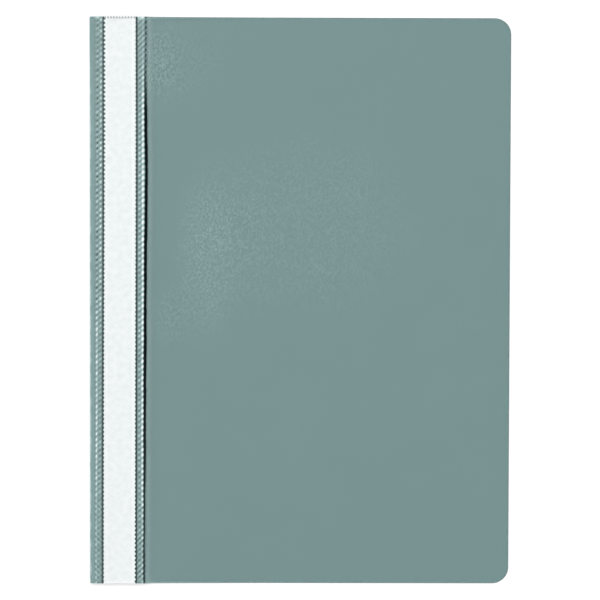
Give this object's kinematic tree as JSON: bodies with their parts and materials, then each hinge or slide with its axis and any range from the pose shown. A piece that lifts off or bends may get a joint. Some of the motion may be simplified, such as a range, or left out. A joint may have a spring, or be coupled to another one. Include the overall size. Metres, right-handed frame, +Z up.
{
  "type": "flat file with prong fastener",
  "caption": "Flat file for punched sheets: coloured film back and spine, clear front cover, label strip in a welded pocket, prong fastener with cover bar inside.",
  "frame": {"origin": "centre of the closed folder's footprint on the surface it lies on", "axes": "+Y towards the top of the filed sheets, +X towards the fore edge, +Z up through the closed folder"},
  "size_m": [0.23, 0.31, 0.0034],
  "materials": {
    "coloured_film": "fine-grained semi-gloss film, grey-green",
    "clear_film": "clear film with a faint orange-peel grain, knurled where welded",
    "label_paper": "plain white uncoated card",
    "prong_steel": "plated strip steel, rolled grain",
    "bar_plastic": "white moulded plastic, satin"
  },
  "bodies": {
    "back": {"back_cover": "coloured_film"},
    "spine": {"spine_wall": "coloured_film"},
    "strip": {"front_strip": "coloured_film", "label_window": "clear_film", "label_card": "label_paper", "prong_strip": "prong_steel", "cover_bar": "bar_plastic"},
    "front": {"front_cover": "clear_film"}
  },
  "joints": [
    {"name": "spine_fold", "type": "hinge", "parent": "back", "child": "spine", "pos_m": [-0.115, 0, 0], "axis": [0, -1, 0], "range_deg": [0, 90]},
    {"name": "strip_fold", "type": "hinge", "parent": "spine", "child": "strip", "pos_m": [-0.115, 0, 0.0026], "axis": [0, -1, 0], "range_deg": [0, 90]},
    {"name": "cover_crease", "type": "hinge", "parent": "strip", "child": "front", "pos_m": [-0.08465, 0, 0.0031], "axis": [0, -1, 0], "range_deg": [0, 178]}
  ]
}
